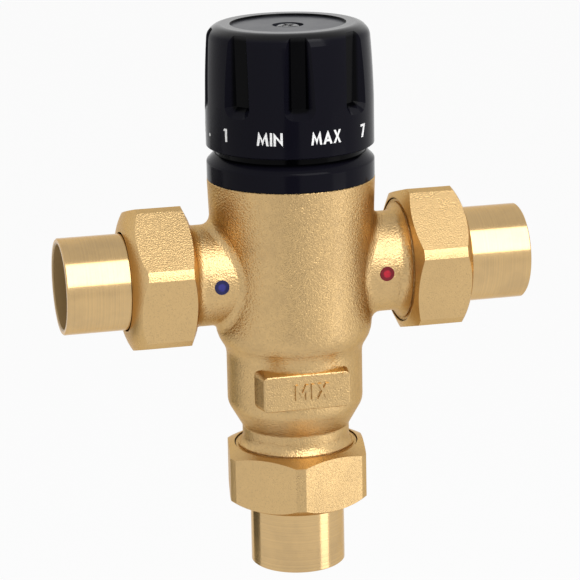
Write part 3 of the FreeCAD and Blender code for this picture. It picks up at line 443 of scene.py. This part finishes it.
def glyph_outlines(w):
    """Outlines of the marks at a cap height of 1 and a stroke width of w, as closed loops
    from the mark's left foot. The small m stands for the capital with upright legs."""
    s = 1.18 * w   # a slanting stroke, measured along the foot line
    return {
        "I": (w, [[(0, 0), (w, 0), (w, 1), (0, 1)]]),
        "N": (0.72, [[(0, 0), (w, 0), (w, 0.60), (0.72, -0.02), (0.72, 1), (0.72 - w, 1),
                      (0.72 - w, 0.40), (0, 1.02)]]),
        "M": (0.98, [[(0, 0), (w * 1.02, 0), (0.205 + w / 2, 0.60), (0.49, 0.0),
                      (0.775 - w / 2, 0.60), (0.98 - w * 1.02, 0), (0.98, 0),
                      (0.83, 1.02), (0.78, 1.02), (0.49, 0.42), (0.20, 1.02), (0.15, 1.02)]]),
        "m": (0.84, [[(0, 0), (w, 0), (w, 0.60), (0.42, 0.16), (0.84 - w, 0.60), (0.84 - w, 0),
                      (0.84, 0), (0.84, 1), (0.86 - w, 1), (0.42, 0.46), (w - 0.02, 1),
                      (0, 1)]]),
        "A": (0.88, [[(0, 0), (s, 0), (0.30, 0.20), (0.58, 0.20), (0.88 - s, 0), (0.88, 0),
                      (0.47, 1.02), (0.41, 1.02)], [(0.365, 0.37), (0.515, 0.37), (0.44, 0.62)]]),
        "X": (0.78, [[(0, 0), (s, 0), (0.39, 0.36), (0.78 - s, 0), (0.78, 0), (0.50, 0.51),
                      (0.76, 1), (0.76 - s, 1), (0.39, 0.68), (0.02 + s, 1), (0.02, 1),
                      (0.28, 0.51)]]),
        "1": (0.34, [[(0.34 - w, 0), (0.34, 0), (0.34, 1), (0.10, 1), (0.0, 0.82),
                      (0.34 - w, 0.82)]]),
        "7": (0.52, [[(0.06, 0), (0.06 + s, 0), (0.52, 1), (0, 1), (0, 1 - w), (0.29, 1 - w)]]),
        "4": (0.62, [[(0.36, 0), (0.36 + w, 0), (0.36 + w, 0.2), (0.62, 0.2), (0.62, 0.36),
                      (0.36 + w, 0.36), (0.36 + w, 1), (0.34, 1), (0, 0.34), (0, 0.2),
                      (0.36, 0.2)], [(0.20, 0.36), (0.36, 0.36), (0.36, 0.66)]]),
        "2": (0.56, [stroke(np.concatenate([
            arc(0.28, 0.72, 0.20, 0.19, 170, -30), [(0.10, 0.10)]]), w).tolist(),
            [(0.02, 0), (0.56, 0), (0.56, w * 0.95), (0.02, w * 0.95)]]),
        "3": (0.52, [stroke(arc(0.22, 0.74, 0.17, 0.17, 150, -90), w).tolist(),
                     stroke(arc(0.22, 0.32, 0.21, 0.23, 90, -150), w).tolist()]),
        "5": (0.54, [[(0.10, 1), (0.50, 1), (0.50, 1 - w), (0.24, 1 - w), (0.20, 0.5),
                      (0.04, 0.5)],
                     stroke(arc(0.24, 0.32, 0.21, 0.23, 110, -150), w).tolist()]),
        "6": (0.58, [arc(0.29, 0.29, 0.29, 0.29, 180, 460, 26).tolist() + [
            (0.31 + s, 1), (0.31, 1), (0.16, 0.78), (0.055, 0.56), (0.008, 0.40)],
            arc(0.29, 0.29, 0.29 - w, 0.29 - w, 0, 350, 24).tolist()]),
    }


def dot_plan(x, y, radius, steps):
    """A round dot as one part of a plan; its closing edge spans the last 15 degrees."""
    return [arc(x, y, radius, radius, 0, 345, steps)]


def word_plan(word, height, stroke_width, gap):
    """Parts of a word in metres, centred on x = 0 with its foot at 0; the stroke's width
    and the gap are shares of the height. A part is an outline and the holes in it: the
    second loop of A, 4 and 6 is a hole, and the loops of other letters overlap."""
    glyphs = glyph_outlines(stroke_width)
    width = sum(glyphs[c][0] for c in word) + gap * (len(word) - 1)
    x, parts = -width / 2, []
    for c in word:
        advance, outlines = glyphs[c]
        loops = [np.asarray(loop, float) * height + (x * height, 0) for loop in outlines]
        parts += [loops] if c in "A46" else [[loop] for loop in loops]
        x += advance + gap
    return parts


def slab(name, loops, low, high, cell):
    """Closed flat slab over one part of a plan, between two heights.

    The first loop is its outline and the others are holes. It is cut across its width at
    every cell, so that it can bend. Its points are (x, y, height)."""
    curve = bpy.data.curves.new(name, "CURVE")
    curve.dimensions = "2D"
    curve.fill_mode = "BOTH"
    curve.extrude = (high - low) / 2
    for loop in loops:
        spline = curve.splines.new("POLY")
        spline.points.add(len(loop) - 1)
        spline.points.foreach_set("co", np.column_stack(
            [loop, np.zeros(len(loop)), np.ones(len(loop))]).ravel())
        spline.use_cyclic_u = True
    holder = linked(name, curve)
    mesh = bpy.data.meshes.new_from_object(holder)
    bpy.data.objects.remove(holder)
    bm = bmesh.new()
    bm.from_mesh(mesh)
    bmesh.ops.remove_doubles(bm, verts=bm.verts, dist=WELD)
    across = np.concatenate(loops)[:, 0]
    for x in np.arange(across.min() + cell, across.max(), cell):
        bmesh.ops.bisect_plane(bm, geom=[*bm.verts, *bm.edges, *bm.faces], dist=ON_CUT,
                               plane_co=(x, 0, 0), plane_no=(1, 0, 0))
    bmesh.ops.recalc_face_normals(bm, faces=bm.faces)
    bm.to_mesh(mesh)
    bm.free()
    move_points(mesh, lambda p: p + (0, 0, (high + low) / 2))
    return mesh


def move_points(mesh, change):
    """Give a mesh the places that change works out from its (n, 3) points."""
    points = np.empty(len(mesh.vertices) * 3)
    mesh.vertices.foreach_get("co", points)
    mesh.vertices.foreach_set("co", np.asarray(change(points.reshape(-1, 3)), float).ravel())
    mesh.update()


def join(name, meshes, body, material):
    """One piece made of several meshes, riding on a body."""
    bm = bmesh.new()
    for mesh in meshes:
        bm.from_mesh(mesh)
        bpy.data.meshes.remove(mesh)
    whole = bpy.data.meshes.new(name)
    bm.to_mesh(whole)
    bm.free()
    obj = linked(name, whole)
    give([obj], material)
    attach(obj, body)
    return obj


def round_knob(radius, azimuth, base):
    """Bend a plan onto a cylinder: x becomes arc length to the right of the azimuth, y
    becomes height above base and the slab's height adds to the radius."""
    def change(p):
        angle = math.radians(azimuth) + p[:, 0] / radius
        r = radius + p[:, 2]
        return np.stack([r * np.sin(angle), -r * np.cos(angle), base + p[:, 1]], -1)
    return change


def coil_spring(name, node, wire, turns, room=0.0):
    """Compression spring with ground ends, in the space of a CAD spring.

    A circle of the wire's radius is carried along a helix: at turn angle t its middle is at
    the mean radius and has risen by t's share of the height, and its points stand off from
    there, outwards by the wire's radius times cos s and upwards by it times sin s. Heights
    past either end are drawn back onto it. Room is left free at the top."""
    low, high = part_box(node)
    bottom, top = low.z, high.z - room
    t = np.linspace(0, 2 * np.pi * turns, int(turns * COIL_STEPS) + 1)[:, None]
    s = np.linspace(0, 2 * np.pi, COIL_SIDES, endpoint=False)[None, :]
    r = high.x - wire + wire * np.cos(s) + 0 * t
    z = np.clip(bottom + (top - bottom) * t / t[-1, 0] + wire * np.sin(s), bottom, top)
    points = np.stack([r * np.cos(t), r * np.sin(t), z], -1).reshape(-1, 3)
    i, j = np.indices((len(t) - 1, COIL_SIDES)).reshape(2, -1)
    here, beside = i * COIL_SIDES, (j + 1) % COIL_SIDES
    quads = np.stack([here + j, here + COIL_SIDES + j, here + COIL_SIDES + beside,
                      here + beside], -1)
    numbers = list(range(len(points)))
    ends = [numbers[:COIL_SIDES], numbers[-COIL_SIDES:][::-1]]
    mesh = bpy.data.meshes.new(name)
    mesh.from_pydata(points.tolist(), [], quads.tolist() + ends)
    mesh.shade_smooth()
    obj = linked(name, mesh)
    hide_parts(node)
    return obj, bottom, top


# --- Stage -------------------------------------------------------------------------------
def sheet(name, corners):
    """Flat piece with four corners."""
    mesh = bpy.data.meshes.new(name)
    mesh.from_pydata(corners, [], [(0, 1, 2, 3)])
    return linked(name, mesh)


def lamp(name, azimuth, elevation, distance, size, strength):
    """Soft oblong lamp seen from the valve at an azimuth and an elevation, facing it."""
    a, e = math.radians(azimuth), math.radians(elevation)
    away = Vector((math.sin(a) * math.cos(e), -math.cos(a) * math.cos(e), math.sin(e)))
    data = bpy.data.lights.new(name, "AREA")
    data.shape = "RECTANGLE"
    data.size, data.size_y = size
    data.energy = strength * size[0] * size[1] * math.pi
    obj = linked(name, data)
    obj.location = away * distance
    obj.rotation_euler = away.to_track_quat("Z", "Y").to_euler()
    obj.visible_camera = False


def card(name, azimuth, distance, width, low, high, tone):
    """Upright matt card facing the valve's axis, seen only in reflections."""
    a = math.radians(azimuth)
    away, side = np.array([math.sin(a), -math.cos(a)]), np.array([math.cos(a), math.sin(a)])
    ends = [away * distance + side * s * width / 2 for s in (-1, 1)]
    corners = [(*ends[0], low), (*ends[0], high), (*ends[1], high), (*ends[1], low)]
    obj = sheet(name, corners)
    obj.visible_camera = False
    material = bpy.data.materials.new(name)
    n = Nodes(material)
    n.add("ShaderNodeOutputMaterial",
          Surface=n.add("ShaderNodeBsdfDiffuse", Color=(tone,) * 3).outputs[0])
    give([obj], material)


def pale_floor(settings):
    """Matt pale floor with an even glow of its own where it is seen."""
    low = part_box("mixed_tailpiece")[0].z - settings.floor_drop
    corners = [(x * FLOOR_HALF, y * FLOOR_HALF, low)
               for x, y in ((-1, -1), (1, -1), (1, 1), (-1, 1))]
    floor = sheet("floor", corners)
    material = bpy.data.materials.new("Pale floor")
    n = Nodes(material)
    matt = n.add("ShaderNodeBsdfDiffuse", Color=(FLOOR_GREY,) * 3).outputs[0]
    glow = n.add("ShaderNodeEmission", Strength=1.0).outputs[0]
    share = n.math("MULTIPLY", n.seen(), FLOOR_GLOW)
    mix = n.add("ShaderNodeMixShader", _0=share, _1=matt, _2=glow).outputs[0]
    n.add("ShaderNodeOutputMaterial", Surface=mix)
    give([floor], material)


def surroundings(settings):
    """White all round and a little dimmer overhead; even pale light on matt surfaces."""
    studio = bpy.data.worlds.new("Studio")
    bpy.context.scene.world = studio
    n = Nodes(studio)
    seen = n.seen()
    up = n.add("ShaderNodeSeparateXYZ", Vector=n.add("ShaderNodeTexCoord").outputs["Generated"])
    backdrop = n.ramp(up.outputs["Z"], DIM_FROM, DIM_TO, 1.0, OVERHEAD)
    strength = n.add("ShaderNodeMix", data_type="FLOAT", Factor=seen,
                     _2=settings.room, _3=backdrop).outputs[0]
    background = n.add("ShaderNodeBackground", Color=(1, 1, 1), Strength=strength).outputs[0]
    n.add("ShaderNodeOutputWorld", Surface=background)


def camera(settings):
    """Camera at its place, turned by yaw, pitch and roll."""
    data = bpy.data.cameras.new("camera")
    data.lens = settings.lens
    data.sensor_width = SENSOR_WIDTH
    data.clip_end = CAMERA_REACH
    obj = linked("camera", data)
    yaw, pitch, roll = (math.radians(v) for v in CAMERA_TURN)
    look = Vector((-math.sin(yaw) * math.cos(pitch), math.cos(yaw) * math.cos(pitch),
                   -math.sin(pitch)))
    right = Vector((math.cos(yaw), math.sin(yaw), 0))
    up = right.cross(look)
    c, s = math.cos(roll), math.sin(roll)
    across, upright = right * c + up * s, up * c - right * s
    turn = Matrix((across, upright, -look)).transposed()
    obj.matrix_world = Matrix.Translation(CAMERA_PLACE) @ turn.to_4x4()
    bpy.context.scene.camera = obj


# --- Operators --------------------------------------------------------------------------
class VALVE_OT_castings(Operator):
    """Blasted brass on the body and the union nuts"""
    bl_idname = "valve.castings"
    bl_label = "Castings"

    def execute(self, context):
        look = context.scene.valve_brass
        give(cad("valve_body"),
             cast_brass("Cast brass", look, look.cast_grain, look.cast_depth, roughness=0.29))
        give(cad("cold_union_nut", "hot_union_nut", "mixed_union_nut"),
             cast_brass("Forged brass", look, look.nut_grain, look.nut_depth,
                        roughness=0.27, staining=0.5))
        return {"FINISHED"}


class VALVE_OT_turned_parts(Operator):
    """Turned brass on the tails and on the working parts inside"""
    bl_idname = "valve.turned_parts"
    bl_label = "Turned parts"

    def execute(self, context):
        look = context.scene.valve_brass
        give(cad("cold_tailpiece", "hot_tailpiece"),
             turned_brass("Turned brass across", look, "X", roughness=0.15, bore=BORE_R))
        give(cad("mixed_tailpiece"),
             turned_brass("Turned brass upright", look, "Z", roughness=0.15, bore=BORE_R))
        give(cad("wax_element", "element_nut", "carrier", "overload_plunger", "bonnet",
                 "spindle"),
             turned_brass("Machined brass", look, "Z", roughness=0.25))
        return {"FINISHED"}


class VALVE_OT_dial(Operator):
    """Black plastic on the knob and collar, and the disc and screw on top"""
    bl_idname = "valve.dial"
    bl_label = "Dial"

    def execute(self, context):
        look = context.scene.valve_dial
        # the knob's grooves get painted shade in the plastic's colour
        give(cad("knob", "collar_ring"),
             moulded_plastic("Black plastic", look.plastic, roughness=0.14,
                             orange_peel=0.004 * MM, polish=0.4,
                             unshaded_radius=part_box("knob")[1].x - GROOVE_SHADE_DEPTH))
        give(cad("knob_disc"),
             moulded_plastic("Disc plastic", look.disc, roughness=0.36,
                             orange_peel=0.01 * MM, polish=0.3))
        give(cad("knob_screw"),
             steel("Dark screw steel", (0.06, 0.06, 0.065), roughness=0.25))
        return {"FINISHED"}


class VALVE_OT_dial_marks(Operator):
    """Printed MIN, MAX, numbers and dots round the knob"""
    bl_idname = "valve.dial_marks"
    bl_label = "Dial marks"

    def execute(self, context):
        look = context.scene.valve_dial
        low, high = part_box("knob")
        radius = (high.x - low.x) / 2
        height, base = look.letter_height, look.letter_base
        numbers = [(str(i + 1), FIRST_NUMBER - i * NUMBER_STEP, NUMBER_WIDEN)
                   for i in range(NUMBERS)]
        meshes = []
        for word, azimuth, widen in (*WORD_MARKS, *numbers):
            for layer, part in enumerate(word_plan(word, height, MARK_STROKE, MARK_GAP)):
                part = [loop * (widen, 1) for loop in part]
                thick = INK_THICK - INK_STEP * (layer % 2)
                mesh = slab(word, part, 0, thick, INK_CELL)
                move_points(mesh, round_knob(radius, azimuth, base))
                meshes.append(mesh)
        for i in range(SCALE_DOTS):
            mesh = slab("dot", dot_plan(0, 0, SCALE_DOT_R, SCALE_DOT_POINTS), 0, INK_THICK,
                        INK_CELL)
            azimuth = FIRST_NUMBER - (i + 0.5) * NUMBER_STEP
            move_points(mesh, round_knob(radius, azimuth, base + SCALE_DOT_RISE))
            meshes.append(mesh)
        ink = soft_material("White ink", look.ink, roughness=0.45, size=0.3 * MM)
        join("dial_marks", meshes, "dial", ink)
        return {"FINISHED"}


class VALVE_OT_outlet_word(Operator):
    """Cast word MIX on the pad at the outlet"""
    bl_idname = "valve.outlet_word"
    bl_label = "Outlet word"

    def execute(self, context):
        look, brass = context.scene.valve_marks, context.scene.valve_brass
        rise = look.word_rise
        meshes = [slab("MIX", part, -rise, rise, PAD_CELL)
                  for part in word_plan("mIX", look.word_height, PAD_STROKE, PAD_GAP)]
        dot = dot_plan(PAD_DOT_X, PAD_DOT_Y, PAD_DOT_R, PAD_DOT_POINTS)
        meshes.append(slab("dot", dot, -rise, rise * PAD_DOT_RISE, PAD_CELL))
        for mesh in meshes:
            move_points(mesh, lambda p: np.stack(
                [p[:, 0], PAD_FACE - p[:, 2], PAD_WORD_FOOT + p[:, 1]], -1))
        material = cast_brass("Cast letters", brass, brass.nut_grain, brass.nut_depth,
                              roughness=0.34)
        piece = join("outlet_word", meshes, "valve", material)
        bevel = piece.modifiers.new("Soft edges", "BEVEL")
        bevel.width = LETTER_EDGE
        bevel.segments = 2
        bevel.limit_method = "ANGLE"
        return {"FINISHED"}


class VALVE_OT_small_parts(Operator):
    """Enamel dots, seals, spring retainer, clips, pin and the plastic shutter"""
    bl_idname = "valve.small_parts"
    bl_label = "Small parts"

    def execute(self, context):
        look = context.scene.valve_marks
        give(cad("cold_marker"), enamel("Blue enamel", look.cold, "cold_marker"))
        give(cad("hot_marker"), enamel("Red enamel", look.hot, "hot_marker"))
        give(cad("shutter_o_ring", "bonnet_o_ring", "spindle_o_rings"),
             soft_material("Seal rubber", (0.02, 0.02, 0.02), roughness=0.6, size=0.3 * MM))
        give(cad("cold_gasket", "hot_gasket", "mixed_gasket"),
             soft_material("Gasket fibre", (0.16, 0.05, 0.03), roughness=0.8, size=0.4 * MM))
        give(cad("shutter"),
             soft_material("Shutter plastic", (0.72, 0.70, 0.62), roughness=0.45,
                           size=0.8 * MM))
        give(cad("spring_retainer", "carrier_clip", "spindle_clip", "element_pin"),
             steel("Drawn steel", SPRING_TINT, roughness=0.28))
        return {"FINISHED"}


class VALVE_OT_springs(Operator):
    """Return spring, which leaves room for the carrier's travel, and overload spring"""
    bl_idname = "valve.springs"
    bl_label = "Springs"

    def execute(self, context):
        finish = steel("Spring steel", SPRING_TINT, roughness=0.28)
        travel = CARRIER_TRAVEL
        back, bottom, top = coil_spring("return_coil", "return_spring", RETURN_WIRE,
                                        RETURN_TURNS, travel)
        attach(back, "valve")
        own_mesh(back)
        over, bottom, top = coil_spring("overload_coil", "overload_spring", OVERLOAD_WIRE,
                                        OVERLOAD_TURNS)
        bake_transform(over)
        give([back, over], finish)
        return {"FINISHED"}


class VALVE_OT_stage(Operator):
    """Pale floor, white surroundings, soft lamps, matt cards and the camera"""
    bl_idname = "valve.stage"
    bl_label = "Stage"

    def execute(self, context):
        settings = context.scene.valve_stage
        pale_floor(settings)
        surroundings(settings)
        for values in LAMPS:
            lamp(*values)
        for values in CARDS:
            card(*values)
        camera(settings)
        context.scene.view_settings.view_transform = "Standard"
        return {"FINISHED"}


class VALVE_PT_panel(Panel):
    """Buttons and settings for the mixing valve"""
    bl_label = "Mixing valve"
    bl_space_type = "VIEW_3D"
    bl_region_type = "UI"
    bl_category = "Mixing valve"

    def draw(self, context):
        layout = self.layout
        for name in GROUPS:
            group = getattr(context.scene, name)
            for key in group.__annotations__:
                layout.prop(group, key)
        for operator in OPERATORS:
            layout.operator(operator.bl_idname)


GROUPS = {"valve_brass": BrassLook, "valve_dial": DialLook, "valve_marks": MarkLook,
          "valve_stage": StageSettings}
OPERATORS = (VALVE_OT_castings, VALVE_OT_turned_parts, VALVE_OT_dial, VALVE_OT_dial_marks,
             VALVE_OT_outlet_word, VALVE_OT_small_parts, VALVE_OT_springs, VALVE_OT_stage)


def register():
    for cls in (*GROUPS.values(), *OPERATORS, VALVE_PT_panel):
        bpy.utils.register_class(cls)
    for key, group in GROUPS.items():
        setattr(bpy.types.Scene, key, PointerProperty(type=group))


def unregister():
    for key in GROUPS:
        delattr(bpy.types.Scene, key)
    for cls in (VALVE_PT_panel, *reversed(OPERATORS), *reversed(list(GROUPS.values()))):
        bpy.utils.unregister_class(cls)


def main():
    register()
    for operator in OPERATORS:
        family, name = operator.bl_idname.split(".")
        getattr(getattr(bpy.ops, family), name)()


if __name__ == "__main__":
    main()
